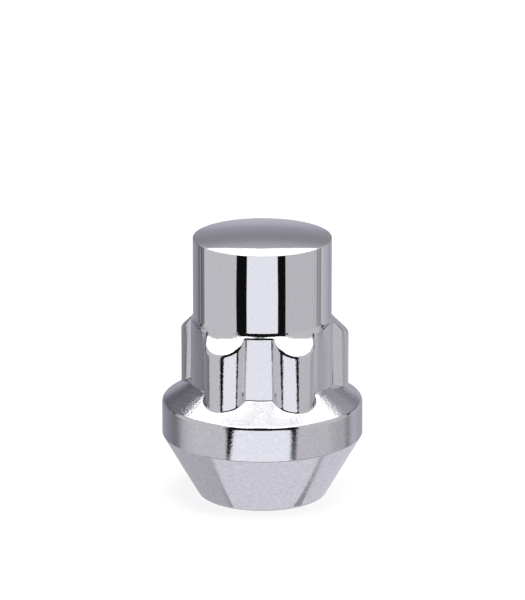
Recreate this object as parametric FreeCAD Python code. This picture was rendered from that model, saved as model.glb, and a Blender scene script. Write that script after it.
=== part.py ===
import FreeCAD, Part

# Locking wheel nut: one forged and turned piece of plated steel.
# Millimetres. The axis is Z, the open end rests on z = 0 and the closed end points up.
# Angles around the axis are counted from the front, which is -Y, towards +X.

import os
from math import atan2, cos, hypot, pi, radians, sin, sqrt, tan

# Blind hole for an M12 x 1.5 thread, held here as the smooth bore at the thread's minor diameter
thread_size = 12.0
thread_pitch = 1.5
mouth_margin = 0.5
mouth_angle = 90.0
drill_point_angle = 118.0
end_wall = 3.5

# Conical seat, flange band and sloping shoulder
foot_wall = 1.52
seat_height = 8.1
seat_angle = 60.0
band_height = 4.4
shoulder_slope = 33.0

# Plain barrel and shallow dome at the closed end
barrel_wall = 3.49
barrel_height = 10.3
dome_rise = 0.55

# Coded key section: a root cylinder with lobes at uneven angles, chamfered at the top
root_step = 0.29
lobe_height = 2.0
lobe_width = 5.78
lobe_flank_draft = 10.0
lobe_tip_flatness = 0.21
lobe_corner_margin = 0.2
lobe_foot_fillet = 0.4
lobe_angles = [26.6, 99.7, 172.5, 245.0, 328.1]
key_height = 8.5
key_chamfer_slope = 46.0

# Rounded edges of the flange band, and small chamfers that break the two end edges
seat_edge_round = 0.25
band_edge_round = 0.7
foot_edge_break = 0.3
dome_edge_break = 0.12

# Radii that follow from the sizes above, from the thread outwards
bore_radius = (thread_size - thread_pitch) / 2
mouth_radius = thread_size / 2 + mouth_margin
foot_radius = mouth_radius + foot_wall
seat_spread = tan(radians(seat_angle / 2))
flange_radius = foot_radius + seat_height * seat_spread
barrel_radius = bore_radius + barrel_wall
root_radius = barrel_radius + root_step
tip_radius = root_radius + lobe_height

# The tip is a little flatter than a half circle, and its corners are a little rounder than the lobe is high
lobe_tip_round = lobe_width / 2 + lobe_tip_flatness
lobe_corner_round = lobe_height + lobe_corner_margin

# Levels that follow, from the foot upwards
band_top = seat_height + band_height
shoulder_fall = tan(radians(shoulder_slope))
shoulder_top = band_top + (flange_radius - root_radius) * shoulder_fall
key_top = shoulder_top + key_height
rim_height = key_top + barrel_height
total_height = rim_height + dome_rise
mouth_depth = (mouth_radius - bore_radius) / tan(radians(mouth_angle / 2))
drill_point = bore_radius / tan(radians(drill_point_angle / 2))
bore_end = total_height - end_wall - drill_point

CENTRE = FreeCAD.Vector(0, 0, 0)
AXIS = FreeCAD.Vector(0, 0, 1)
CLOSE = 1e-4


def at(radius, height):
    """A point of the half section, which is drawn in the XZ plane."""
    return FreeCAD.Vector(radius, 0, height)


def line(start, end):
    return Part.LineSegment(start, end).toShape()


def arc(start, middle, end):
    return Part.Arc(start, middle, end).toShape()


def rounded(corners):
    """Edges that join (radius, height, rounding) corners, with an arc wherever the rounding isn't zero."""
    edges = []
    start = at(*corners[0][:2])
    for before, corner, after in zip(corners, corners[1:], corners[2:]):
        point = at(*corner[:2])
        back = (at(*before[:2]) - point).normalize()
        ahead = (at(*after[:2]) - point).normalize()
        half_angle = back.getAngle(ahead) / 2
        reach = corner[2] / tan(half_angle)
        edges.append(line(start, point + back * reach))
        start = point + ahead * reach
        if reach:
            depth = corner[2] / sin(half_angle) - corner[2]
            edges.append(arc(point + back * reach, point + (back + ahead).normalize() * depth, start))
    edges.append(line(start, at(*corners[-1][:2])))
    return edges


def turned(edges):
    """Spin a closed half section all the way round the axis."""
    return Part.Face(Part.Wire(edges)).revolve(CENTRE, AXIS, 360)


def flange():
    """Conical seat, flange band and shoulder, whose slope runs on to the axis inside the key section."""
    peak = band_top + flange_radius * shoulder_fall
    side = rounded([
        (0, 0, 0),
        (foot_radius - foot_edge_break, 0, 0),
        (foot_radius + foot_edge_break * seat_spread, foot_edge_break, 0),
        (flange_radius, seat_height, seat_edge_round),
        (flange_radius, band_top, band_edge_round),
        (0, peak, 0),
    ])
    return turned(side + [line(at(0, peak), CENTRE)])


def barrel():
    """The plain cylinder above the key section, closed by a shallow dome."""
    dome_radius = (barrel_radius**2 + dome_rise**2) / (2 * dome_rise)

    def on_dome(radius):
        return at(radius, total_height - dome_radius + sqrt(dome_radius**2 - radius**2))

    crown = at(0, total_height)
    rim = on_dome(barrel_radius - dome_edge_break)
    side = rounded([
        (0, band_top, 0),
        (barrel_radius, band_top, 0),
        (barrel_radius, rim_height - dome_edge_break, 0),
        (rim.x, rim.z, 0),
    ])
    return turned(side + [arc(rim, on_dome(barrel_radius / 2), crown), line(crown, at(0, band_top))])


def polar(centre, radius, turn):
    """The point at a radius and a turn round a centre, in the plan of the key section."""
    return centre + FreeCAD.Vector(cos(turn), sin(turn), 0) * radius


def lobe(angle):
    """One lobe of the key section: drafted flanks that run through corner arcs into a round tip."""
    outwards = pi / 2 - radians(lobe_flank_draft)
    flank_way = polar(CENTRE, 1, outwards - pi / 2)
    flank_foot = FreeCAD.Vector(sqrt(root_radius**2 - (lobe_width / 2)**2), lobe_width / 2, 0)
    tip_centre = FreeCAD.Vector(tip_radius - lobe_tip_round, 0, 0)

    # The corner arc's centre slides along the flank until its arc touches the tip arc from inside
    slide = polar(flank_foot, -lobe_corner_round, outwards) - tip_centre
    reach = slide.dot(flank_way)
    gap = lobe_tip_round - lobe_corner_round
    flank_length = sqrt(reach**2 - slide.dot(slide) + gap**2) - reach
    corner_centre = tip_centre + slide + flank_way * flank_length
    joint_turn = atan2(corner_centre.y, corner_centre.x - tip_centre.x)

    inside = flank_foot - flank_way * (flank_foot.x / flank_way.x)
    left = [
        inside,
        flank_foot + flank_way * flank_length,
        polar(corner_centre, lobe_corner_round, (outwards + joint_turn) / 2),
        polar(tip_centre, lobe_tip_round, joint_turn),
    ]
    right = [FreeCAD.Vector(point.x, -point.y, 0) for point in left]
    outline = Part.Wire([
        line(right[0], right[1]),
        arc(right[1], right[2], right[3]),
        arc(right[3], FreeCAD.Vector(tip_radius, 0, 0), left[3]),
        arc(left[3], left[2], left[1]),
        line(left[1], left[0]),
        line(left[0], right[0]),
    ])
    blank = Part.Face(outline).extrude(AXIS * (key_top - band_top))
    blank.translate(AXIS * band_top)
    blank.rotate(CENTRE, AXIS, angle - 90)
    return blank


def key_section():
    """The lobes around their root cylinder, with the top turned to a chamfer."""
    base = AXIS * band_top
    height = key_top - band_top
    section = Part.makeCylinder(root_radius, height, base)
    for angle in lobe_angles:
        section = section.fuse(lobe(angle))
    chamfer_radius = barrel_radius + height / tan(radians(key_chamfer_slope))
    chamfer = Part.makeCone(chamfer_radius, barrel_radius, height, base)
    return section.removeSplitter().common(chamfer)


def lobe_foot_edges(solid):
    """The edges where the lobes stand on the shoulder, leaving out the root cylinder's own edges."""
    found = []
    for edge in solid.Edges:
        first, last = edge.ParameterRange
        points = [edge.valueAt(first + (last - first) * share) for share in (0.0, 0.5, 1.0)]
        radii = [hypot(point.x, point.y) for point in points]
        heights = [band_top + (flange_radius - radius) * shoulder_fall for radius in radii]
        on_shoulder = max(abs(point.z - height) for point, height in zip(points, heights)) < CLOSE
        if on_shoulder and radii[1] > root_radius + CLOSE and max(radii) < tip_radius + CLOSE:
            found.append(edge)
    return found


def bore():
    """The blind hole with its drill point, and the countersunk mouth."""
    corners = [
        at(0, 0),
        at(mouth_radius, 0),
        at(bore_radius, mouth_depth),
        at(bore_radius, bore_end),
        at(0, bore_end + drill_point),
    ]
    return turned([line(start, end) for start, end in zip(corners, corners[1:] + corners[:1])])


def nut_body():
    """The whole nut: turned forms and key section joined, lobe feet filleted, hole cut from below."""
    solid = flange().fuse(barrel()).fuse(key_section()).removeSplitter()
    solid = solid.makeFillet(lobe_foot_fillet, lobe_foot_edges(solid))
    return solid.cut(bore()).Solids[0]


if __name__ == "__main__":
    os.makedirs("parts", exist_ok=True)
    nut = nut_body()
    nut.exportStep("parts/nut_body.step")
    print(f"height {total_height:.3f} mm, foot radius {foot_radius:.3f} mm, volume {nut.Volume:.1f} mm3")
    print(f"bore radius {bore_radius:.3f} mm from {mouth_depth:.3f} to {bore_end:.3f} mm")
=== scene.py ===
# %% [markdown]
# # A chromed locking wheel nut
# The nut is one piece of steel. It is turned and forged, a lobed key section is pressed into its
# side, and all of it is plated with chromium. The CAD model gives its place and size, and this
# lesson dresses it: a finer skin with softened edges, a real thread in the hole, six finishes of
# the same plating, and a small studio for the chrome to mirror.

# %% Load the fixed frame
from math import atan2, cos, pi, radians, sin, sqrt, tan

import bpy
import numpy as np
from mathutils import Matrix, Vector


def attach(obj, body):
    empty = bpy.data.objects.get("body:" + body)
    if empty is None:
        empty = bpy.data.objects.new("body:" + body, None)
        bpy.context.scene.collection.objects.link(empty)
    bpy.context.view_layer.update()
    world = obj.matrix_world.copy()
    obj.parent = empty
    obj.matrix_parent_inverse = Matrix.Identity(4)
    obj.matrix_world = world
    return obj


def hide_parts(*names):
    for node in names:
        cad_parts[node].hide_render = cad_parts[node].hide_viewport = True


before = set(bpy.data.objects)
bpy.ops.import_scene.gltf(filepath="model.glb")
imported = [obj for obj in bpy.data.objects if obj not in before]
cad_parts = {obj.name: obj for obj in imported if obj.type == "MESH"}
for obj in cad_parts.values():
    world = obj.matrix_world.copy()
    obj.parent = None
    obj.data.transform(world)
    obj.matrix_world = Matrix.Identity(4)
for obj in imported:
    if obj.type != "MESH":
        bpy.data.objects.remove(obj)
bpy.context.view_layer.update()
MM, MICRON = 0.001, 1e-6

# %% [markdown]
# ## Sizes
# A maker would read these off the drawing, in millimetres. The CAD model was built from the same
# ones, but the rounds and fillets are finer here: on mirror-bright metal even a tenth of a
# millimetre of softened edge shows, as a thin line of light or dark. The chamfer over the lobes
# also settles a little, where polishing took metal away.

# %% Driving sizes
BORE_RADIUS, MOUTH_RADIUS = 5.25, 6.5
FOOT_RADIUS, FLANGE_RADIUS = 8.02, 12.6965
BARREL_RADIUS, ROOT_RADIUS, TIP_RADIUS = 8.74, 9.03, 11.03
SEAT_HEIGHT, BAND_TOP = 8.1, 12.5
KEY_TOP, RIM_HEIGHT, TOTAL_HEIGHT = 23.381, 33.681, 34.231
SHOULDER_SLOPE, CHAMFER_SLOPE, SEAT_SLOPE = radians(33), radians(46), radians(30)
LOBE_HALF, LOBE_DRAFT, LOBE_TIP, LOBE_CORNER = 2.89, radians(10), 3.1, 2.2
LOBE_ANGLES = [radians(a) for a in (26.6, 99.7, 172.5, 245.0, 328.1)]

FOOT_ROUND, SEAT_ROUND, BAND_ROUND, RIM_ROUND = 0.52, 0.25, 0.7, 0.07
CREASE_FILLET, NECK_FILLET = 0.22, 1.0
ROOT_FOOT_FILLET, LOBE_FOOT_FILLET = 0.30, 0.36
ROOT_TOP_ROUND, LOBE_TOP_ROUND = 0.57, 0.68
CHAMFER_SETTLE = 0.08

THREAD_PITCH, THREAD_DEPTH, THREAD_END = 1.5, 0.75, 24.5
BORE_END, DRILL_POINT = 27.577, 3.155
print("nut", TOTAL_HEIGHT, "mm tall and", 2 * FLANGE_RADIUS, "mm across its band")

# %% [markdown]
# ## The outline of the key section
# Seen from above, each lobe is a tongue whose flanks lean in by ten degrees, with a broad tip arc
# and rounded corners, and between the lobes runs the root circle. The outline could be cut out
# with Boolean modifiers, but those leave uneven triangles that chrome shows as dents. Here it is
# walked once round as points with their exact outward directions.

# %% Walk round one lobe
TIP_STEPS, CORNER_STEPS, FLANK_STEPS, CREASE_STEPS = 16, 14, 3, 7
LOBE_BLEND = 1.2


def arc_points(centre, radius, start, end, steps, inwards=False):
    """Points and outward directions along an arc; inwards marks a hollow corner."""
    turn = np.linspace(start, end, steps)
    way = np.stack([np.cos(turn), np.sin(turn)], axis=1)
    return np.asarray(centre) + radius * way, -way if inwards else way


def lobe_outline():
    """One lobe along its own +X, from its right crease round the tip to its left crease."""
    out = np.array([sin(LOBE_DRAFT), cos(LOBE_DRAFT)])
    along = np.array([cos(LOBE_DRAFT), -sin(LOBE_DRAFT)])
    flank_foot = np.array([sqrt(ROOT_RADIUS**2 - LOBE_HALF**2), LOBE_HALF])
    tip_centre = np.array([TIP_RADIUS - LOBE_TIP, 0])

    slide = flank_foot - LOBE_CORNER * out - tip_centre
    reach = slide @ along
    flank_length = sqrt(reach**2 - slide @ slide + (LOBE_TIP - LOBE_CORNER)**2) - reach
    corner_centre = tip_centre + slide + flank_length * along
    joint = atan2(corner_centre[1], corner_centre[0] - tip_centre[0])

    ball_path = ROOT_RADIUS + CREASE_FILLET
    crease_turn = np.arcsin((flank_foot @ out + CREASE_FILLET) / ball_path) - LOBE_DRAFT
    crease_centre = ball_path * np.array([cos(crease_turn), sin(crease_turn)])
    flank_end = crease_centre - CREASE_FILLET * out
    flank_start = flank_foot + flank_length * along

    tip = arc_points(tip_centre, LOBE_TIP, 0, joint, TIP_STEPS)
    corner = arc_points(corner_centre, LOBE_CORNER, joint, pi / 2 - LOBE_DRAFT, CORNER_STEPS)
    shares = np.linspace(0, 1, FLANK_STEPS + 2)[1:-1, None]
    flank = flank_start + (flank_end - flank_start) * shares, np.tile(out, (FLANK_STEPS, 1))
    crease = arc_points(crease_centre, CREASE_FILLET, 1.5 * pi - LOBE_DRAFT, pi + crease_turn,
                        CREASE_STEPS, inwards=True)
    parts = [(tip[0][:-1], tip[1][:-1]), corner, flank, crease]
    left = np.concatenate([part[0] for part in parts])
    left_ways = np.concatenate([part[1] for part in parts])
    flip = np.array([1, -1])
    points = np.concatenate([left[:0:-1] * flip, left])
    ways = np.concatenate([left_ways[:0:-1] * flip, left_ways])
    lobe_share = np.interp(points[:, 0], (flank_end[0], flank_end[0] + LOBE_BLEND), (0, 1))
    return points, ways, lobe_share


# %% Walk round the whole key section
ROOT_STEP = radians(2.2)


def key_outline():
    """The whole outline: points, outward directions, and how far each column stands out on a lobe."""
    lobe_points, lobe_ways, lobe_share = lobe_outline()
    half_span = atan2(lobe_points[-1][1], lobe_points[-1][0])
    points, ways, shares = [], [], []
    for angle, following in zip(LOBE_ANGLES, LOBE_ANGLES[1:] + [LOBE_ANGLES[0] + 2 * pi]):
        turn = np.array([[cos(angle), sin(angle)], [-sin(angle), cos(angle)]])
        points.append(lobe_points @ turn)
        ways.append(lobe_ways @ turn)
        shares.append(lobe_share)
        gap_start, gap_end = angle + half_span, following - half_span
        steps = max(4, round((gap_end - gap_start) / ROOT_STEP))
        root = arc_points((0, 0), ROOT_RADIUS, gap_start, gap_end, steps + 1)
        points.append(root[0][1:-1])
        ways.append(root[1][1:-1])
        shares.append(np.zeros(steps - 1))
    quarter = np.array([[0, -1], [1, 0]])
    return np.concatenate(points) @ quarter, np.concatenate(ways) @ quarter, np.concatenate(shares)


outline, outline_ways, on_lobe = key_outline()
foot_fillets = ROOT_FOOT_FILLET + (LOBE_FOOT_FILLET - ROOT_FOOT_FILLET) * on_lobe
top_rounds = ROOT_TOP_ROUND + (LOBE_TOP_ROUND - ROOT_TOP_ROUND) * on_lobe
column_turn = np.arctan2(outline[:, 1], outline[:, 0])
columns = len(outline)
print("columns", columns, "widest", np.hypot(outline[:, 0], outline[:, 1]).max())

# %% [markdown]
# ## Softened edges
# No real edge is knife sharp: plating builds up on it and polishing rounds it. A Bevel modifier
# could do this, but it can't widen a fillet along a flank, and it bends the shading beside it.
# Here a ball is rolled along each edge instead. Its centre follows from the two faces that meet,
# and the skin touches the ball from one face's direction to the other's.

# %% Roll a ball along an edge
LEAST_TURN = 1e-6


def unit(way):
    return way / np.linalg.norm(way, axis=-1, keepdims=True)


def turn_between(first, second, share):
    """A direction part of the way from one to the other, along the shortest turn."""
    between = np.arccos(np.clip((first * second).sum(axis=-1, keepdims=True), -1, 1))
    between = np.maximum(between, LEAST_TURN)
    return (first * np.sin((1 - share) * between) + second * np.sin(share * between)) / np.sin(between)


def rolled(edge, first, second, radius, steps, hollow=False):
    """Rows of points and outward directions over a rounded edge, or along a hollow fillet."""
    radius = np.asarray(radius).reshape(-1, 1)
    side = 1 if hollow else -1
    centre = edge + side * radius * (first + second) / (1 + (first * second).sum(axis=-1, keepdims=True))
    rows = []
    for share in np.linspace(0, 1, steps):
        way = turn_between(first, second, share)
        rows.append((centre - side * radius * way, way))
    return rows


# %% Turned circles and edge directions
def ring(radius, height, radial, upward):
    """A turned circle with one point for each column, and its outward directions."""
    across = np.stack([np.cos(column_turn), np.sin(column_turn)], axis=1)
    points = np.concatenate([across * radius, np.full((columns, 1), float(height))], axis=1)
    ways = np.concatenate([across * radial, np.full((columns, 1), float(upward))], axis=1)
    return points, ways


def facing(radial, upward):
    return ring(0, 0, radial, upward)[1]


UP_SHOULDER = facing(sin(SHOULDER_SLOPE), cos(SHOULDER_SLOPE))
DOWN_SEAT = facing(cos(SEAT_SLOPE), -sin(SEAT_SLOPE))
SIDEWAYS = facing(1, 0)
KEY_WALL = np.concatenate([outline_ways, np.zeros((columns, 1))], axis=1)
print("edge directions for", len(SIDEWAYS), "columns")

# %% [markdown]
# ## The slopes above and below the key section
# Under the lobes the shoulder is a plain cone. Over them a tool turned a chamfer, which leaves
# the barrel in a hollow neck and then eases into its full slope. That profile has no simple
# formula, so it is summed up in small steps and then looked up by radius.

# %% Heights and directions on the slopes
NECK_TILT, CHAMFER_TILT, TILT_EASE = radians(35), radians(45.5), 0.25
PAST_ROOT, PAST_TIP = 0.02, 0.2


def shoulder_height(points):
    return BAND_TOP + (FLANGE_RADIUS - np.hypot(points[:, 0], points[:, 1])) * tan(SHOULDER_SLOPE)


def neck_profile():
    """Radius, height and tilt down the neck: a fillet off the barrel that eases into the chamfer."""
    tilt = np.linspace(0, NECK_TILT, 60)
    radius = BARREL_RADIUS + NECK_FILLET * (1 - np.cos(tilt))
    height = -NECK_FILLET * np.sin(tilt)
    outer = np.linspace(radius[-1], TIP_RADIUS + PAST_TIP, 400)[1:]
    eased_over = np.maximum(outer - ROOT_RADIUS - PAST_ROOT, 0)
    outer_tilt = CHAMFER_TILT - (CHAMFER_TILT - NECK_TILT) * np.exp(-eased_over / TILT_EASE)
    fall = np.cumsum(np.diff(np.append(radius[-1], outer)) / np.tan(outer_tilt))
    radius, height = np.append(radius, outer), np.append(height, height[-1] - fall)
    tip_height = KEY_TOP - (TIP_RADIUS - BARREL_RADIUS) * tan(CHAMFER_SLOPE) - CHAMFER_SETTLE
    height = height + tip_height - np.interp(TIP_RADIUS, radius, height)
    return radius, height, np.append(tilt, outer_tilt)


NECK_RADII, NECK_HEIGHTS, NECK_TILTS = neck_profile()
print("neck from", NECK_HEIGHTS[0], "down to", NECK_HEIGHTS[-1])


def chamfer_height(points):
    return np.interp(np.hypot(points[:, 0], points[:, 1]), NECK_RADII, NECK_HEIGHTS)


def chamfer_way(points):
    tilt = np.interp(np.hypot(points[:, 0], points[:, 1]), NECK_RADII, NECK_TILTS)[:, None]
    return np.concatenate([unit(points[:, :2]) * np.cos(tilt), np.sin(tilt)], axis=1)


# %% [markdown]
# ## The skin, from the foot to the dome
# The rows go up the nut like the rungs of a ladder, from the foot to the dome, and each stretch
# carries the name of its finish. As every direction is known exactly, reflections run as
# smoothly over this mesh as over a polished surface.

# %% Helpers for the rows
skin_rows, row_finish = [], []


def stretch(start, end, shares, height):
    """Rows from one row to another over a cone, whose height at each point is given."""
    rows = []
    for share in shares:
        points = start[0] + (end[0] - start[0]) * share
        points[:, 2] = height(points)
        rows.append((points, unit(start[1] + (end[1] - start[1]) * share)))
    return rows


def evenly(start, end, steps):
    """Rows between two rows of the same turned surface."""
    return [(start[0] + (end[0] - start[0]) * share, start[1])
            for share in np.linspace(0, 1, steps + 2)[1:-1]]


def add_rows(rows, finish):
    skin_rows.extend(rows)
    row_finish.extend([finish] * len(rows))


# %% Foot, seat and band
foot = rolled(ring(FOOT_RADIUS, 0, 1, 0)[0], facing(0, -1), DOWN_SEAT, FOOT_ROUND, steps=6)
seat_edge = rolled(ring(FLANGE_RADIUS, SEAT_HEIGHT, 1, 0)[0], DOWN_SEAT, SIDEWAYS, SEAT_ROUND, steps=6)
band_edge = rolled(ring(FLANGE_RADIUS, BAND_TOP, 1, 0)[0], SIDEWAYS, UP_SHOULDER, BAND_ROUND, steps=9)

add_rows(foot, "foot")
add_rows(evenly(foot[-1], seat_edge[0], 8), "seat")
add_rows(seat_edge, "seat")
add_rows(evenly(seat_edge[-1], band_edge[0], 3), "band")
add_rows(band_edge, "band")
print("rows up to the shoulder", len(skin_rows))

# %% Shoulder and key section
key_foot_edge = np.concatenate([outline, shoulder_height(outline)[:, None]], axis=1)
key_foot = rolled(key_foot_edge, UP_SHOULDER, KEY_WALL, foot_fillets, steps=7, hollow=True)
add_rows(stretch(band_edge[-1], key_foot[0], np.linspace(0, 1, 9)[1:-1], shoulder_height), "shoulder")

key_top_edge = np.concatenate([outline, chamfer_height(outline)[:, None]], axis=1)
key_top = rolled(key_top_edge, KEY_WALL, chamfer_way(key_top_edge), top_rounds, steps=6)
add_rows(key_foot, "key")
add_rows(evenly(key_foot[-1], key_top[0], 5), "key")
add_rows(key_top, "key")

neck = ring(BARREL_RADIUS, NECK_HEIGHTS[0], 1, 0)
for still_out in np.linspace(1, 0, 18)[1:-1]**2:
    points = neck[0] + (key_top[-1][0] - neck[0]) * still_out
    points[:, 2] = chamfer_height(points)
    add_rows([(points, chamfer_way(points))], "key")
print("rows up to the neck", len(skin_rows))

# %% Barrel and dome
DOME_RISE = TOTAL_HEIGHT - RIM_HEIGHT
DOME_RADIUS = (BARREL_RADIUS**2 + DOME_RISE**2) / (2 * DOME_RISE)
rim_tilt = np.arcsin(BARREL_RADIUS / DOME_RADIUS)
up_dome = facing(sin(rim_tilt), cos(rim_tilt))
rim = rolled(ring(BARREL_RADIUS, RIM_HEIGHT, 1, 0)[0], SIDEWAYS, up_dome, RIM_ROUND, steps=8)
add_rows([neck], "barrel")
add_rows(evenly(neck, rim[0], 6), "barrel")
add_rows(rim, "barrel")

last_tilt = np.hypot(*rim[-1][0][0, :2]) / DOME_RADIUS
for tilt in np.linspace(last_tilt, 0, 12)[1:-1]:
    height = TOTAL_HEIGHT - DOME_RADIUS * (1 - cos(tilt))
    add_rows([ring(DOME_RADIUS * sin(tilt), height, sin(tilt), cos(tilt))], "dome")
print("rows", len(skin_rows))

# %% [markdown]
# ## The thread
# The hole takes a wheel stud, so its thread is a helix with flat crests and roots and flanks
# that stand 60 degrees apart. A thread follows a rule, so Geometry Nodes make it: a flat grid is
# sheared by one pitch, rolled into a tube, and pushed outwards wherever the helix passes. The
# same nodes open the countersunk mouth, let the thread fade out and close the drill point.

# %% Node helpers
def add_input(tree, name, value, kind="NodeSocketFloat"):
    socket = tree.interface.new_socket(name, in_out="INPUT", socket_type=kind)
    if value is not None:
        socket.default_value = value
    return socket.identifier


def feed(tree, socket, value):
    """Link a socket to another one, or set it to a plain number."""
    if isinstance(value, bpy.types.NodeSocket):
        tree.links.new(value, socket)
    else:
        socket.default_value = value


def feed_all(tree, node, **values):
    """Feed a node's inputs by name, with an underscore for each space."""
    for name, value in values.items():
        feed(tree, node.inputs[name.replace("_", " ")], value)


def math_node(tree, operation, *values):
    """A math node, fed with sockets or with plain numbers."""
    node = tree.nodes.new("ShaderNodeMath")
    node.operation = operation
    for socket, value in zip(node.inputs, values):
        feed(tree, socket, value)
    return node.outputs[0]


def placed(tree, kind, name, x, y):
    node = tree.nodes.new(kind)
    node.label = name
    node.location = (x, y)
    return node


# %% Work out the helix in nodes
ROWS_PER_PITCH, THREAD_COLUMNS = 12, 112
THREAD_ROWS = int((BORE_END + DRILL_POINT + THREAD_PITCH) / THREAD_PITCH * ROWS_PER_PITCH) + 2
THREAD_FLANK, HALF_ROOT_FLAT = radians(30), 1 / 16
print("thread grid", THREAD_COLUMNS, "by", THREAD_ROWS)


def helix_place(tree, given, index):
    """Where a point of the flat grid goes, from its number: rolled round the axis at its height."""
    def m(operation, *values):
        return math_node(tree, operation, *values)

    column = m("FLOOR", m("DIVIDE", index, THREAD_ROWS))
    row = m("SUBTRACT", index, m("MULTIPLY", column, THREAD_ROWS))
    around = m("DIVIDE", column, THREAD_COLUMNS)
    sheared = m("SUBTRACT", m("ADD", m("DIVIDE", row, ROWS_PER_PITCH), around), 1)
    tip = m("ADD", given["Bore End"], given["Drill Point"])
    height = m("MINIMUM", m("MAXIMUM", m("MULTIPLY", sheared, given["Pitch"]), 0), tip)

    phase = m("FRACT", m("DIVIDE", row, ROWS_PER_PITCH))
    from_root = m("ABSOLUTE", m("SUBTRACT", phase, 0.5))
    up_flank = m("MULTIPLY", m("SUBTRACT", from_root, HALF_ROOT_FLAT), given["Pitch"])
    flank = m("MAXIMUM", m("DIVIDE", up_flank, tan(THREAD_FLANK)), 0)
    cut = m("MAXIMUM", m("SUBTRACT", given["Thread Depth"], flank), 0)
    fade = m("MULTIPLY", m("SUBTRACT", given["Thread End"], height), 1 / (THREAD_PITCH * MM))
    cut = m("MULTIPLY", cut, m("MINIMUM", m("MAXIMUM", fade, 0), 1))

    countersink = m("SUBTRACT", given["Mouth Radius"], height)
    wall = m("MAXIMUM", m("ADD", given["Bore Radius"], cut), countersink)
    to_tip = m("DIVIDE", m("SUBTRACT", tip, height), given["Drill Point"])
    radius = m("MINIMUM", wall, m("MAXIMUM", m("MULTIPLY", to_tip, given["Bore Radius"]), 0))

    turn = m("MULTIPLY", around, 2 * pi)
    place = placed(tree, "ShaderNodeCombineXYZ", "rolled up", -100, 100)
    feed(tree, place.inputs[0], m("MULTIPLY", radius, m("COSINE", turn)))
    feed(tree, place.inputs[1], m("MULTIPLY", radius, m("SINE", turn)))
    feed(tree, place.inputs[2], height)
    return place.outputs[0]


# %% Build the thread tree
THREAD_SIZES = {
    "Pitch": THREAD_PITCH, "Bore Radius": BORE_RADIUS, "Mouth Radius": MOUTH_RADIUS,
    "Thread Depth": THREAD_DEPTH, "Thread End": THREAD_END, "Bore End": BORE_END,
    "Drill Point": DRILL_POINT}
SEAM_GAP = 0.002


def thread_tree():
    """The whole tree, and the identifier of each of its named inputs."""
    tree = bpy.data.node_groups.new("threaded_hole", "GeometryNodeTree")
    tree.interface.new_socket("Geometry", in_out="OUTPUT", socket_type="NodeSocketGeometry")
    names = {name: add_input(tree, name, size * MM) for name, size in THREAD_SIZES.items()}
    names["Finish"] = add_input(tree, "Finish", None, "NodeSocketMaterial")
    given = placed(tree, "NodeGroupInput", "sizes", -1400, 0).outputs

    grid = placed(tree, "GeometryNodeMeshGrid", "flat grid", -1200, 300)
    feed_all(tree, grid, Size_X=1, Size_Y=1, Vertices_X=THREAD_COLUMNS + 1, Vertices_Y=THREAD_ROWS)
    index = placed(tree, "GeometryNodeInputIndex", "point number", -1200, 0).outputs[0]

    move = placed(tree, "GeometryNodeSetPosition", "roll", 100, 300)
    merge = placed(tree, "GeometryNodeMergeByDistance", "close the seam", 300, 300)
    merge.inputs["Distance"].default_value = SEAM_GAP * MM
    inwards = placed(tree, "GeometryNodeFlipFaces", "face the axis", 400, 300)
    smooth = placed(tree, "GeometryNodeSetShadeSmooth", "smooth", 500, 300)
    realize = placed(tree, "GeometryNodeRealizeInstances", "realize", 700, 300)
    finish = placed(tree, "GeometryNodeSetMaterial", "finish", 900, 300)
    out = placed(tree, "NodeGroupOutput", "out", 1100, 300)
    feed(tree, move.inputs["Position"], helix_place(tree, given, index))
    feed(tree, finish.inputs["Material"], given["Finish"])
    chain = [grid, move, merge, inwards, smooth, realize, finish, out]
    for first, second in zip(chain, chain[1:]):
        tree.links.new(first.outputs[0], second.inputs[0])
    return tree, names


hole_tree, hole_names = thread_tree()
print("thread inputs", list(hole_names))

# %% [markdown]
# ## Shared effects of the plating
# Chromium copies the steel under it. Where the steel was turned, fine rings stay in the plating,
# and where it was forged, ripples, small grains and pits stay. Both effects are shader node
# groups, so each finish can ask for them in its own size and strength. The groups give only a
# direction and a mask, and the numbers that are the same all over stay on the shader.

# %% Helpers for the effects
def shader_group(name, inputs):
    """An empty group that takes a normal and some sizes, and gives a normal and a mask."""
    group = bpy.data.node_groups.new(name, "ShaderNodeTree")
    normal = group.interface.new_socket("Normal", in_out="INPUT", socket_type="NodeSocketVector")
    normal.hide_value = True
    for title, value in inputs:
        add_input(group, title, value)
    group.interface.new_socket("Normal", in_out="OUTPUT", socket_type="NodeSocketVector")
    group.interface.new_socket("Mask", in_out="OUTPUT", socket_type="NodeSocketFloat")
    given = placed(group, "NodeGroupInput", "in", -1200, 0).outputs
    return group, given, placed(group, "NodeGroupOutput", "out", 600, 0).inputs


def vector_node(tree, operation, name, first, second=None):
    node = placed(tree, "ShaderNodeVectorMath", name, -800, 100)
    node.operation = operation
    feed(tree, node.inputs[0], first)
    if second is not None:
        feed(tree, node.inputs["Scale" if operation == "SCALE" else 1], second)
    return node.outputs[0]


def noise(tree, vector, scale, detail, rough, name):
    node = placed(tree, "ShaderNodeTexNoise", name, -300, 0)
    feed_all(tree, node, Vector=vector, Scale=scale, Detail=detail, Roughness=rough)
    return node.outputs[0]


def bump(tree, height, microns, normal):
    """Lift the surface by a height mask, as many microns as it is deep."""
    node = placed(tree, "ShaderNodeBump", "bump", 300, 0)
    depth = math_node(tree, "MULTIPLY", microns, MICRON)
    feed_all(tree, node, Height=height, Strength=1.0, Distance=depth, Normal=normal)
    return node.outputs[0]


# %% Turning lines and forged grain
PITS_PER_GRAIN, PIT_EDGE = 0.45, 3.0


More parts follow.
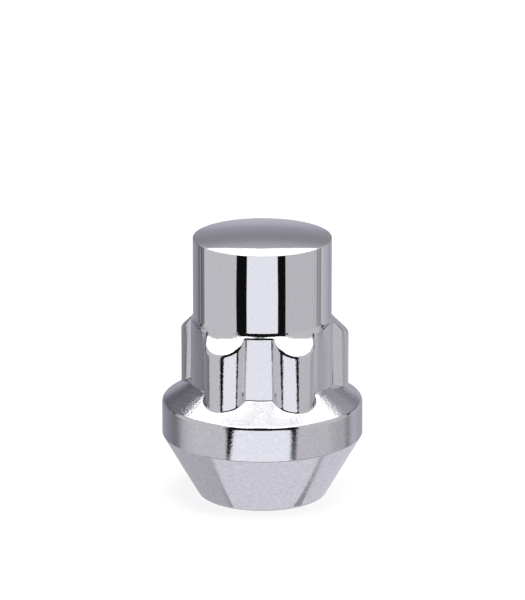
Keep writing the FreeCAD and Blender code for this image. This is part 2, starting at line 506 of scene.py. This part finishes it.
def turning_lines_group():
    """Rings left by the turning tool: noise that is slower round the axis than along the profile."""
    group, given, out = shader_group(
        "turning_lines", (("Lines per mm", 6.0), ("Depth um", 1.0), ("Waver", 0.4)))
    along = placed(group, "ShaderNodeAttribute", "millimetres along the profile", -1200, 300)
    along.attribute_name = "along"
    place = placed(group, "ShaderNodeTexCoord", "place", -1200, 100).outputs["Object"]
    off_axis = vector_node(group, "MULTIPLY", "off the axis", place, (1, 1, 0))
    round_axis = vector_node(group, "NORMALIZE", "direction round the axis", off_axis)
    slow = vector_node(group, "SCALE", "slow round the axis", round_axis, given["Waver"])
    lift = placed(group, "ShaderNodeCombineXYZ", "tight along the profile", -700, 300)
    feed(group, lift.inputs[2], math_node(group, "MULTIPLY", along.outputs["Fac"], given["Lines per mm"]))
    joined = vector_node(group, "ADD", "joined", slow, lift.outputs[0])
    lines = noise(group, joined, 1.0, 4.0, 0.65, "lines")
    feed(group, out["Normal"], bump(group, lines, given["Depth um"], given["Normal"]))
    feed(group, out["Mask"], lines)
    return group


def forged_grain_group():
    """Grain and small pits of forged steel under thin plating."""
    group, given, out = shader_group(
        "forged_grain", (("Grain per mm", 6.0), ("Depth um", 6.0), ("Pit Depth um", 0.0)))
    place = placed(group, "ShaderNodeTexCoord", "place", -1000, 0).outputs["Object"]
    scale = math_node(group, "MULTIPLY", given["Grain per mm"], 1 / MM)
    grain = noise(group, place, scale, 3.0, 0.6, "grain")
    pits = placed(group, "ShaderNodeTexVoronoi", "pits", -600, -300)
    feed_all(group, pits, Vector=place, Scale=math_node(group, "MULTIPLY", scale, PITS_PER_GRAIN))
    rising = math_node(group, "MULTIPLY", pits.outputs["Distance"], PIT_EDGE)
    hollow = math_node(group, "MINIMUM", rising, 1.0)
    grained = bump(group, grain, given["Depth um"], given["Normal"])
    feed(group, out["Normal"], bump(group, hollow, given["Pit Depth um"], grained))
    feed(group, out["Mask"], grain)
    return group


turning_lines = turning_lines_group()
forged_grain = forged_grain_group()
print("shared effects", [turning_lines.name, forged_grain.name])

# %% [markdown]
# ## Six finishes of one plating
# Bright chromium is a bluish grey mirror. The barrel and the dome were polished to it. The key
# section is as bright, but the ripples of forging break the edges of whatever it mirrors. On the
# band the turning rings show, on the seat they are satin, on the shoulder the forged grain was
# left, and in the thread the plating is dull. Each finish is a material of its own, so that it
# can be read and changed in one place.

# %% Helpers for the finishes
CHROME, THREAD_GREY = (0.80, 0.80, 0.825), (0.52, 0.52, 0.53)


def new_material(name):
    material = bpy.data.materials.new(name)
    material.use_nodes = True
    return material, material.node_tree


def plating(name, colour, roughness):
    material, tree = new_material(name)
    sockets = tree.nodes["Principled BSDF"].inputs
    sockets["Base Color"].default_value = (*colour, 1)
    sockets["Metallic"].default_value = 1
    sockets["Roughness"].default_value = roughness
    return material, tree, sockets


def use_group(tree, group, normal=None, **values):
    """Add a shared effect on top of a normal, or on the plain surface."""
    node = placed(tree, "ShaderNodeGroup", group.name, -500, 0)
    node.node_tree = group
    if normal is None:
        normal = placed(tree, "ShaderNodeNewGeometry", "plain surface", -700, 0).outputs["Normal"]
    feed_all(tree, node, Normal=normal, **values)
    return node.outputs


def shaded_between(tree, mask, low, high, low_at=0.35, high_at=0.65):
    """A value that goes from low to high as the mask does."""
    node = placed(tree, "ShaderNodeMapRange", "range", -250, -200)
    feed_all(tree, node, Value=mask, From_Min=low_at, From_Max=high_at, To_Min=low, To_Max=high)
    return node.outputs[0]


def blend_colours(tree, share, first, second):
    node = placed(tree, "ShaderNodeMix", "blend", -250, 200)
    node.data_type = "RGBA"
    for number, value in ((0, share), (6, first), (7, second)):
        feed(tree, node.inputs[number], value)
    return node.outputs[2]


def tinted(tree, sockets, mask, spread):
    """Let the plating's colour go a little darker and lighter as the mask does."""
    share = shaded_between(tree, mask, 0, 1, 0.3, 0.7)
    darker = (*[part * (1 - spread) for part in CHROME], 1)
    lighter = (*[part * (1 + spread) for part in CHROME], 1)
    feed(tree, sockets["Base Color"], blend_colours(tree, share, darker, lighter))


def surfaced(tree, sockets, effect, spread, roughness=None):
    """Bend the surface by an effect, and let its mask change the colour and the roughness."""
    feed(tree, sockets["Normal"], effect["Normal"])
    tinted(tree, sockets, effect["Mask"], spread)
    if roughness:
        feed(tree, sockets["Roughness"], shaded_between(tree, effect["Mask"], *roughness))


# %% Polished and forged mirror finishes
def mirror_plating(name, roughness, **ripples):
    """Bright plating with a faint haze in its colour and ripples in its surface."""
    material, tree, sockets = plating(name, CHROME, roughness)
    haze = use_group(tree, forged_grain, Grain_per_mm=5.5, Depth_um=0, Pit_Depth_um=0)
    tinted(tree, sockets, haze["Mask"], 0.07)
    rippled = use_group(tree, forged_grain, Pit_Depth_um=0, **ripples)
    feed(tree, sockets["Normal"], rippled["Normal"])
    return material


bright = mirror_plating("bright_plating", 0.045, Grain_per_mm=1.6, Depth_um=0.5)
forged = mirror_plating("forged_plating", 0.05, Grain_per_mm=3.0, Depth_um=14)
print("mirror finishes", [bright.name, forged.name])

# %% Turned, satin, grainy and dull finishes
turned, tree, sockets = plating("turned_plating", CHROME, 0.07)
rings = use_group(tree, turning_lines, Lines_per_mm=3, Depth_um=9.0, Waver=28)
surfaced(tree, sockets, rings, 0.09)

satin, tree, sockets = plating("satin_plating", CHROME, 0.14)
grain = use_group(tree, forged_grain, Grain_per_mm=4.5, Depth_um=7, Pit_Depth_um=0)
rings = use_group(tree, turning_lines, grain["Normal"], Lines_per_mm=2.8, Depth_um=6.5, Waver=20)
surfaced(tree, sockets, rings, 0.12, (0.10, 0.20))

grainy, tree, sockets = plating("grainy_plating", CHROME, 0.10)
grain = use_group(tree, forged_grain, Grain_per_mm=3.2, Depth_um=26, Pit_Depth_um=8)
surfaced(tree, sockets, grain, 0.12, (0.06, 0.13))

dull, tree, sockets = plating("thread_plating", THREAD_GREY, 0.3)
grain = use_group(tree, forged_grain, Grain_per_mm=5, Depth_um=5, Pit_Depth_um=0)
feed(tree, sockets["Normal"], grain["Normal"])

MATERIALS = [bright, forged, turned, satin, grainy, dull]
print("finishes", [material.name for material in MATERIALS])

# %% [markdown]
# ## Run the nodes and close the skin
# The thread is evaluated once and kept as plain geometry. Its lower ring and the foot's outer ring
# have different numbers of points, so the flat ring between them is zipped together point by
# point. The result is one closed mesh for the one piece that the nut really is.

# %% Evaluate the thread
def add_object(name, data):
    piece = bpy.data.objects.new(name, data)
    bpy.context.scene.collection.objects.link(piece)
    return piece


def run_tree(name, tree, inputs):
    """Evaluate a tree on an empty mesh and give back the plain result."""
    carrier = add_object(name, bpy.data.meshes.new(name))
    modifier = carrier.modifiers.new(name, "NODES")
    modifier.node_group = tree
    for identifier, value in inputs.items():
        modifier[identifier] = value
    bpy.context.view_layer.update()
    evaluated = carrier.evaluated_get(bpy.context.evaluated_depsgraph_get())
    mesh = bpy.data.meshes.new_from_object(evaluated)
    carrier.modifiers.remove(modifier)
    bpy.data.objects.remove(carrier)
    return mesh


thread_mesh = run_tree("thread", hole_tree, {hole_names["Finish"]: dull})
thread_points = np.array([v.co for v in thread_mesh.vertices]) / MM
thread_ways = np.array([v.normal for v in thread_mesh.vertices])
thread_faces = [tuple(p.vertices) for p in thread_mesh.polygons]
print("thread", len(thread_points), "points", len(thread_faces), "faces, from",
      thread_points.min(0), "to", thread_points.max(0))


# %% Zip two rings together
def in_order(ring_points, points):
    """A ring's points and turns in order round the axis, with the first one again at the end."""
    turn = np.arctan2(points[ring_points, 1], points[ring_points, 0]) % (2 * pi)
    order = np.argsort(turn)
    return ([ring_points[i] for i in order] + [ring_points[order[0]]],
            list(turn[order]) + [turn[order[0]] + 2 * pi])


def zip_rings(outer, inner, points):
    """Triangles that fill the flat ring between two circles of points, facing down."""
    outside, outside_turn = in_order(outer, points)
    inside, inside_turn = in_order(inner, points)
    i = j = 0
    faces = []
    while i < len(outside) - 1 or j < len(inside) - 1:
        step_out = j == len(inside) - 1 or (
            i < len(outside) - 1 and outside_turn[i + 1] <= inside_turn[j + 1])
        if step_out:
            faces.append((outside[i], inside[j], outside[i + 1]))
            i += 1
        else:
            faces.append((outside[i], inside[j], inside[j + 1]))
            j += 1
    return faces


# %% Faces of the nut
FINISHES = {"foot": satin, "seat": satin, "band": turned, "shoulder": grainy, "key": forged,
            "barrel": bright, "dome": bright, "thread": dull}
ON_THE_GROUND = 1e-4
pole = len(skin_rows) * columns


def nut_faces(points):
    """The faces and the name of each one's finish, with the flat ring's triangles last."""
    column = np.arange(columns)
    after = (column + 1) % columns
    faces, finish = [], []
    for low in range(len(skin_rows) - 1):
        a, b = low * columns, (low + 1) * columns
        faces += np.stack([a + column, a + after, b + after, b + column], axis=1).tolist()
        finish += [row_finish[low + 1]] * columns
    top = pole - columns
    faces += [(top + i, top + j, pole) for i, j in zip(column.tolist(), after.tolist())]
    finish += ["dome"] * columns
    faces += [tuple(pole + 1 + v for v in face) for face in thread_faces]
    finish += ["thread"] * len(thread_faces)
    mouth = [pole + 1 + i for i in np.flatnonzero(thread_points[:, 2] < ON_THE_GROUND)]
    flat = zip_rings(list(range(columns)), mouth, points)
    return faces + flat, finish + ["foot"] * len(flat), len(flat)


# %% Profile lengths and directions
def store_along(mesh):
    """Millimetres along the profile, which the turning lines follow."""
    steps = np.linalg.norm(np.diff([row[0][0] for row in skin_rows], axis=0), axis=1)
    row_along = np.concatenate([[0], np.cumsum(steps)])
    in_thread = np.hypot(thread_points[:, 0], thread_points[:, 1]) - thread_points[:, 2] - FOOT_RADIUS
    along = np.concatenate([np.repeat(row_along, columns), [row_along[-1] + 1], in_thread])
    layer = mesh.attributes.new("along", "FLOAT", "POINT")
    layer.data.foreach_set("value", along.astype(np.float32))


def set_directions(mesh, ways, flat_count):
    """Give each corner its exact direction; the flat ring's triangles face straight down."""
    corner_point = np.zeros(len(mesh.loops), np.int32)
    mesh.loops.foreach_get("vertex_index", corner_point)
    corner_ways = ways[corner_point]
    corner_ways[-3 * flat_count:] = (0, 0, -1)
    mesh.normals_split_custom_set(unit(corner_ways).tolist())


# %% Make the nut
def nut_mesh():
    points = np.concatenate([row[0] for row in skin_rows] + [[[0, 0, TOTAL_HEIGHT]], thread_points])
    ways = np.concatenate([row[1] for row in skin_rows] + [[[0, 0, 1]], thread_ways])
    faces, finish, flat_count = nut_faces(points)
    mesh = bpy.data.meshes.new("locking_wheel_nut")
    mesh.from_pydata((points * MM).tolist(), [], faces)
    for material in MATERIALS:
        mesh.materials.append(material)
    slots = {name: MATERIALS.index(material) for name, material in FINISHES.items()}
    mesh.polygons.foreach_set("material_index", [slots[name] for name in finish])
    mesh.polygons.foreach_set("use_smooth", [True] * len(faces))
    store_along(mesh)
    set_directions(mesh, ways, flat_count)
    return mesh


nut = add_object("locking_wheel_nut", nut_mesh())
nut.data.validate()
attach(nut, "root")
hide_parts("nut_body")
triangles = sum(len(p.vertices) - 2 for p in nut.data.polygons)
print("nut", len(nut.data.polygons), "faces", triangles, "triangles")

# %% [markdown]
# ## The studio
# Chrome has no look of its own: it shows the room. The tall walls tilt the camera's gaze down to
# the table in front, so the table cards decide how the barrel, the lobes and the band look.
# The sloping chamfers and the shoulder look up to the softbox, and the dome looks far back.
# The cards are hidden from the camera, as a photographer keeps flags out of the picture, and
# each has the tone that the plating should show.

# %% Tones and cards
def linear(tone):
    """A linear value from a tone as it is read off a picture, from 0 to 255."""
    share = tone / 255
    return share / 12.92 if share <= 0.04045 else ((share + 0.055) / 1.055)**2.4


def seen_as(red, green, blue):
    """The glow that a card needs, so that the plating shows it in these tones."""
    return [linear(tone) / plate for tone, plate in zip((red, green, blue), CHROME)]


def glow(name, colour):
    material, tree = new_material(name)
    tree.nodes.clear()
    emission = placed(tree, "ShaderNodeEmission", "glow", 0, 0)
    emission.inputs["Color"].default_value = (*colour, 1)
    out = placed(tree, "ShaderNodeOutputMaterial", "out", 300, 0)
    tree.links.new(emission.outputs[0], out.inputs["Surface"])
    return material


def card(name, corners, colour, faces=None):
    """A flat card that only mirrors see, with its corners in millimetres."""
    mesh = bpy.data.meshes.new(name)
    faces = faces or [tuple(range(len(corners)))]
    mesh.from_pydata([tuple(c * MM for c in corner) for corner in corners], [], faces)
    mesh.materials.append(glow(name, colour))
    piece = add_object(name, mesh)
    piece.visible_camera = False
    piece.visible_diffuse = False
    piece.visible_shadow = False
    return piece


def level_at(points, height):
    return [(x, y, height) for x, y in points]


def square(half):
    return [(-half, -half), (half, -half), (half, half), (-half, half)]


BLACK = (0.004, 0.0045, 0.0045)
print("a tone of 128 needs a glow of", seen_as(128, 128, 128))

# %% [markdown]
# ## Sheets on the table
# An upright wall mirrors the table at twice its own turn from the front, so a sheet can be laid
# out by what each part of a wall should show: its edges follow from the wall's radius, and its
# tones are graded from one turn to the next. The far sheets are for the barrel, the middle ones
# for the lobes and their roots, and the near ones for the band. Each lies a few hundredths of a
# millimetre over the last one and hides it.

# %% Sheets that follow a wall
DEGREES_A_STEP = 3


def wall_looks_at(wall_radius, turn, reach):
    """The table point that an upright wall mirrors, at a turn from the front and a reach from it."""
    turn = radians(turn)
    return (wall_radius * sin(turn) + reach * sin(2 * turn),
            -wall_radius * cos(turn) - reach * cos(2 * turn))


def cool_grey(turn, grey):
    """A cool grey tone, bluer where the wall turns far away."""
    return grey + 1, grey - 1, grey + (10 if abs(turn) > 62 else 5)


def graded_sheet(name, place, *stops):
    """A sheet whose edges and tones are given as (turn on the wall, grey seen there)."""
    wall_radius, near, far, height = place
    points, tones, faces = [], [], []
    for (first, first_grey), (last, last_grey) in zip(stops, stops[1:]):
        first_tone, last_tone = cool_grey(first, first_grey), cool_grey(last, last_grey)
        steps = max(1, int(abs(last - first) / DEGREES_A_STEP))
        for step in range(steps):
            corner = len(points)
            for share, reaches in ((step / steps, (near, far)), ((step + 1) / steps, (far, near))):
                turn = first + (last - first) * share
                tone = np.add(np.multiply(first_tone, 1 - share), np.multiply(last_tone, share))
                for reach in reaches:
                    points.append(wall_looks_at(wall_radius, turn, reach))
                    tones.append((*seen_as(*tone), 1))
            faces.append(tuple(range(corner, corner + 4)))
    sheet = card(name, level_at(points, height), (0, 0, 0), faces)
    layer = sheet.data.attributes.new("tone", "FLOAT_COLOR", "POINT")
    layer.data.foreach_set("color", np.array(tones, np.float32).ravel())
    tree = sheet.data.materials[0].node_tree
    tone = placed(tree, "ShaderNodeAttribute", "tone", -300, 0)
    tone.attribute_name = "tone"
    tree.links.new(tone.outputs["Color"], tree.nodes["Emission"].inputs["Color"])


# %% Lay the sheets
TABLE_AT = 0.08
FAR, MIDDLE = (BARREL_RADIUS, 50, 3000, 0.10), (ROOT_RADIUS, 36, 73.5, 0.13)
NEAR = (FLANGE_RADIUS, 12, 40, 0.16)

card("table", level_at(square(3000), TABLE_AT), seen_as(185, 183, 189))
graded_sheet("far_left", FAR,
    (-90, 152), (-73.7, 137), (-68.5, 126), (-66.6, 124), (-66.5, 104), (-64.9, 90), (-63.5, 132),
    (-61.7, 132), (-61.6, 88), (-60.2, 90), (-59.2, 116), (-57.4, 116), (-56.2, 98), (-56.1, 186),
    (-18, 186))
graded_sheet("far_right", FAR,
    (18, 181), (45, 180), (51.2, 174), (51.4, 130), (53, 152), (55, 138), (57.8, 146), (57.9, 186),
    (61, 177), (67, 165), (72, 152), (90, 150))
graded_sheet("middle_left", MIDDLE,
    (-90, 140), (-76, 132), (-60, 124), (-51, 108), (-50, 110), (-49.5, 184), (-18, 186))
graded_sheet("middle_right", MIDDLE,
    (18, 181), (49, 180), (50, 158), (60, 160), (70, 170), (80, 164), (90, 150))
graded_sheet("near_left", NEAR,
    (-90, 156), (-80, 142), (-71.7, 130), (-66.9, 122), (-61.6, 111), (-58.2, 117), (-54.1, 150),
    (-52.2, 165), (-48.6, 174), (-42, 184), (-18, 185))
graded_sheet("near_right", NEAR,
    (15, 181), (40, 178), (47, 163), (54.5, 160), (56, 140), (58, 130), (60, 146), (62, 150),
    (62.5, 164), (66, 166), (72, 155), (80, 152), (90, 152))
print("graded sheets from", NEAR[1], "to", FAR[2], "mm away")

# %% [markdown]
# ## Cards round the foot and in front
# The seat cone leans over, so it looks at the ground beside the foot. Fan-shaped cards there
# give it a pale middle and darker sides, with two narrow streaks for its dark lines. Straight in
# front lies a pale panel between black flags, which the upright walls show as a light field with
# black bars at its sides.

# %% Cards round the foot
FOOT_AT, STREAK_AT = 0.19, 0.3
FOOT_EDGE, FRONT_EDGE, OUTER_EDGE = 8.2, 18.5, 28


def around_foot(inner_turns, outer_turns, inner, outer):
    """Corners of a fan-shaped sheet; its turns count from the front towards +X."""
    near = [(inner * sin(a), -inner * cos(a)) for a in np.radians(np.linspace(*inner_turns, 31))]
    far = [(outer * sin(a), -outer * cos(a)) for a in np.radians(np.linspace(*outer_turns, 31))]
    return level_at(near + far[::-1], FOOT_AT)


card("foot_left", around_foot((-180, -28.4), (-180, -59), FOOT_EDGE, OUTER_EDGE), seen_as(164, 163, 172))
card("foot_right", around_foot((33.1, 180), (69, 180), FOOT_EDGE, OUTER_EDGE), seen_as(191, 190, 201))
card("foot_front", around_foot((-28.4, 33.1), (-52, 61), FOOT_EDGE, FRONT_EDGE), seen_as(199, 197, 208))
card("edge_front", around_foot((-52, 61), (-59, 69), FRONT_EDGE, OUTER_EDGE), seen_as(96, 95, 100))
streak_left = [(-3.6, -7.4), (-10.7, -9.9), (-11.0, -9.2), (-4.0, -7.1)]
streak_right = [(3.9, -7.3), (4.9, -6.6), (13.0, -7.4), (12.9, -8.3)]
card("streak_left", level_at(streak_left, STREAK_AT), seen_as(150, 149, 156))
card("streak_right", level_at(streak_right, STREAK_AT), seen_as(140, 139, 145))
print("foot cards out to", OUTER_EDGE, "mm")

# %% Panel and flags
PANEL_AT, FLAG_AT = 0.4, 0.6
PANEL_TONE, FLAG_GREY = seen_as(224, 225, 234), seen_as(88, 92, 98)

panel = [(-16, -27.5), (15, -27.5), (22, -37), (46, -100), (90, -215),
         (-90, -215), (-46, -100), (-22, -37)]
inner_edge = [(21.5, -38.5), (29.4, -59), (34, -75), (43, -93), (90, -215)]
flag_right = inner_edge + [(140, -185), (62, -81), (25, -36.2)]
flag_left = [(-18, -29.1)] + [(-x, y) for x, y in inner_edge] + [
    (-150, -180), (-69, -76), (-25.5, -35.9), (-19.2, -28.3)]
flag_right_near = [(21.2, -38.7), (14.8, -31), (17.9, -29), (24.7, -36.4)]
dark_front = [(-90, -215), (90, -215), (140, -185), (2000, -2640), (-2000, -2640), (-150, -180)]
card("front_panel", level_at(panel, PANEL_AT), PANEL_TONE)
card("flag_right", level_at(flag_right, FLAG_AT), BLACK)
card("flag_left", level_at(flag_left, FLAG_AT), BLACK)
card("flag_right_near", level_at(flag_right_near, FLAG_AT), FLAG_GREY)
card("dark_front", level_at(dark_front, FLAG_AT), BLACK)
print("panel corners", len(panel))

# %% [markdown]
# ## Softbox, scrim and shade cards
# The chamfers and the shoulder look up, so a large softbox hangs over the nut, and its outline
# bends where their white should end. A scrim under it calms the front of the shoulder, the shade
# round the lens is the grey of the neck between the two front lobes, and two thin black cards
# put painted shade at the sides of the neck: the dark marks there are their reflection.

# %% Hang the softbox
CEILING, SCRIM_AT = 250, 249
SOFTBOX_GLOW = (1.7, 1.7, 1.72)

softbox_edge = [(150, -254), (163, -170), (168, -125), (174, -92), (184, -66), (205, -10), (232, 44),
                (284, 85), (288, 150), (168, 180), (75, 486), (45, 468), (22, 440), (0.1, 427)]
other_half = [(-x, y) for x, y in softbox_edge[::-1]]
scrim = [(-80, -40), (80, -40), (112, 78), (60, 92), (-60, 92), (-112, 78)]
lens_shade = [(-62, -262), (32, -262), (32, -186), (-62, -186)]
card("softbox", level_at(softbox_edge + other_half, CEILING), SOFTBOX_GLOW)
# Painted shade: two thin black cards whose reflection makes the dark marks at the sides of the neck.
card("neck_shade_card_left", [(-150, 60, 16), (-143, 78, 16), (-143, 78, 50), (-150, 60, 50)], BLACK)
card("neck_shade_card_right", [(155, 53, 20), (148, 74, 20), (148, 74, 68), (155, 53, 68)], BLACK)
card("scrim", level_at(scrim, SCRIM_AT), seen_as(237, 237, 241))
card("lens_shade", level_at(lens_shade, SCRIM_AT), seen_as(112, 112, 116))

# %% [markdown]
# ## Floor, room and lamp
# The floor is a plain pale sheet. Its material glows, more for the camera than for mirrors, but
# a share of lamp light is left in, so that the nut's soft shadow stays. The room is a gradient
# that only mirrors see: black in front below the softbox, grey at the sides, and at the back a
# darker haze at the height that the dome looks at.

# %% Lay the floor
CAMERA_GLOW, MIRROR_GLOW = 0.66, 0.30
FLOOR_HALF, FLOOR_DROP = 3, 0.01


def floor_material():
    material, tree = new_material("floor")
    sockets = tree.nodes["Principled BSDF"].inputs
    sockets["Base Color"].default_value = (0.86, 0.86, 0.86, 1)
    sockets["Roughness"].default_value = 0.9
    sockets["Specular IOR Level"].default_value = 0
    sockets["Emission Color"].default_value = (1, 1, 1, 1)
    ray = placed(tree, "ShaderNodeLightPath", "ray", -900, 0)
    seen = math_node(tree, "MULTIPLY", ray.outputs["Is Camera Ray"], CAMERA_GLOW)
    mirrored = math_node(tree, "MULTIPLY", ray.outputs["Is Glossy Ray"], MIRROR_GLOW)
    feed(tree, sockets["Emission Strength"], math_node(tree, "ADD", seen, mirrored))
    return material


floor_mesh = bpy.data.meshes.new("floor")
floor_mesh.from_pydata(level_at(square(FLOOR_HALF), -FLOOR_DROP * MM), [], [(0, 1, 2, 3)])
floor_mesh.materials.append(floor_material())
floor = add_object("floor", floor_mesh)
print("floor", 2 * FLOOR_HALF, "m wide")


# %% Helpers for the room
def ramp(tree, name, value, stops):
    """A colour ramp with its stops given as (position, colour)."""
    node = placed(tree, "ShaderNodeValToRGB", name, -600, 0)
    elements = node.color_ramp.elements
    while len(elements) < len(stops):
        elements.new(0.5)
    for element, (position, colour) in zip(elements, stops):
        element.position = position
        element.color = (*colour, 1)
    feed(tree, node.inputs[0], value)
    return node.outputs[0]


def halved(tree, value):
    """Bring a value from -1 to 1 into the ramp's own 0 to 1."""
    return math_node(tree, "ADD", math_node(tree, "MULTIPLY", value, 0.5), 0.5)


# %% Paint the room
BACK_BY_HEIGHT = (
    (0.0, seen_as(178, 176, 190)), (0.13, seen_as(165, 163, 177)), (0.21, seen_as(143, 141, 152)),
    (0.30, seen_as(129, 128, 134)), (0.35, seen_as(132, 131, 137)), (0.415, seen_as(158, 155, 163)))
BACK_BEGINS = ((0.0, (0, 0, 0)), (0.62, (0, 0, 0)), (0.80, (1, 1, 1)))
ACROSS_BACK = ((0.30, (0.42, 0.43, 0.45)), (0.44, (1, 1, 1)), (0.56, (1, 1, 1)), (0.70, (0.82, 0.82, 0.84)))
SIDE_TONE = seen_as(186, 184, 189)
DARK_AHEAD, DARK_TOP = -0.74, 0.70
FLOOR_DIMMING = -0.75


def paint_room():
    world = bpy.data.worlds.new("studio")
    bpy.context.scene.world = world
    world.use_nodes = True
    tree = world.node_tree
    direction = placed(tree, "ShaderNodeTexCoord", "direction", -1600, 0)
    parts = placed(tree, "ShaderNodeSeparateXYZ", "parts", -1400, 0)
    feed(tree, parts.inputs[0], direction.outputs["Generated"])
    height = parts.outputs["Z"]
    across = math_node(tree, "SQRT", math_node(tree, "SUBTRACT", 1.0001, math_node(tree, "POWER", height, 2)))
    ahead = math_node(tree, "DIVIDE", parts.outputs["Y"], across)
    sideways = math_node(tree, "DIVIDE", parts.outputs["X"], across)

    behind = ramp(tree, "behind, by height", height, BACK_BY_HEIGHT)
    left_to_right = ramp(tree, "from left to right", halved(tree, sideways), ACROSS_BACK)
    back = vector_node(tree, "MULTIPLY", "tinted from left to right", behind, left_to_right)
    towards_back = ramp(tree, "towards the back", halved(tree, ahead), BACK_BEGINS)
    room = blend_colours(tree, towards_back, (*SIDE_TONE, 1), back)
    in_front = math_node(tree, "LESS_THAN", ahead, DARK_AHEAD)
    low = math_node(tree, "LESS_THAN", height, DARK_TOP)
    room = blend_colours(tree, math_node(tree, "MULTIPLY", in_front, low), room, (*BLACK, 1))

    ray = placed(tree, "ShaderNodeLightPath", "ray", -900, 300)
    plain = math_node(tree, "SUBTRACT", 1, ray.outputs["Is Glossy Ray"])
    background = tree.nodes["Background"]
    feed(tree, background.inputs["Color"], blend_colours(tree, plain, room, (1, 1, 1, 1)))
    for_floor = math_node(tree, "MULTIPLY", ray.outputs["Is Diffuse Ray"], FLOOR_DIMMING)
    feed(tree, background.inputs["Strength"], math_node(tree, "ADD", for_floor, 1))
    return world


print("room", paint_room().name)

# %% Hang the lamp
lamp_data = bpy.data.lights.new("overhead", "AREA")
lamp_data.energy = 1.1
lamp_data.size = 0.5
lamp = add_object("overhead", lamp_data)
lamp.location = (0.05, -0.05, 0.6)
lamp.visible_glossy = False
lamp.visible_camera = False
print("lamp", lamp_data.energy, "W at", tuple(lamp.location))

# %% [markdown]
# ## The camera
# The picture was taken from far off and a little above. The camera looks 17.4 degrees down on
# the nut's middle from two thirds of a metre, through a long lens. Its frame is then shifted, so
# that the nut sits low in the picture without being seen from another side.

# %% Place the camera
ELEVATION = radians(17.43)
AIM = Vector((0.0, 0.0, 16.445 * MM))
PIXELS_AWAY, PIXEL_WIDTH = 5270, 0.1265
DISTANCE = PIXELS_AWAY * PIXEL_WIDTH * MM
FRAME_WIDTH, FRAME_HEIGHT = 525, 600
AIM_COLUMN, AIM_ROW = 262.3, 367.97
SENSOR = 36

camera_data = bpy.data.cameras.new("camera")
camera = add_object("camera", camera_data)
camera_data.sensor_fit = "VERTICAL"
camera_data.sensor_height = SENSOR
camera_data.lens = SENSOR * PIXELS_AWAY / FRAME_HEIGHT
camera_data.clip_end = 20
camera_data.shift_x = (FRAME_WIDTH / 2 - AIM_COLUMN) / FRAME_HEIGHT
camera_data.shift_y = (AIM_ROW - FRAME_HEIGHT / 2) / FRAME_HEIGHT
camera.location = AIM + DISTANCE * Vector((0, -cos(ELEVATION), sin(ELEVATION)))
camera.rotation_euler = (AIM - camera.location).to_track_quat("-Z", "Y").to_euler()
bpy.context.scene.camera = camera
bpy.context.scene.view_settings.view_transform = "Standard"
print("camera", tuple(camera.location), "lens", camera_data.lens)
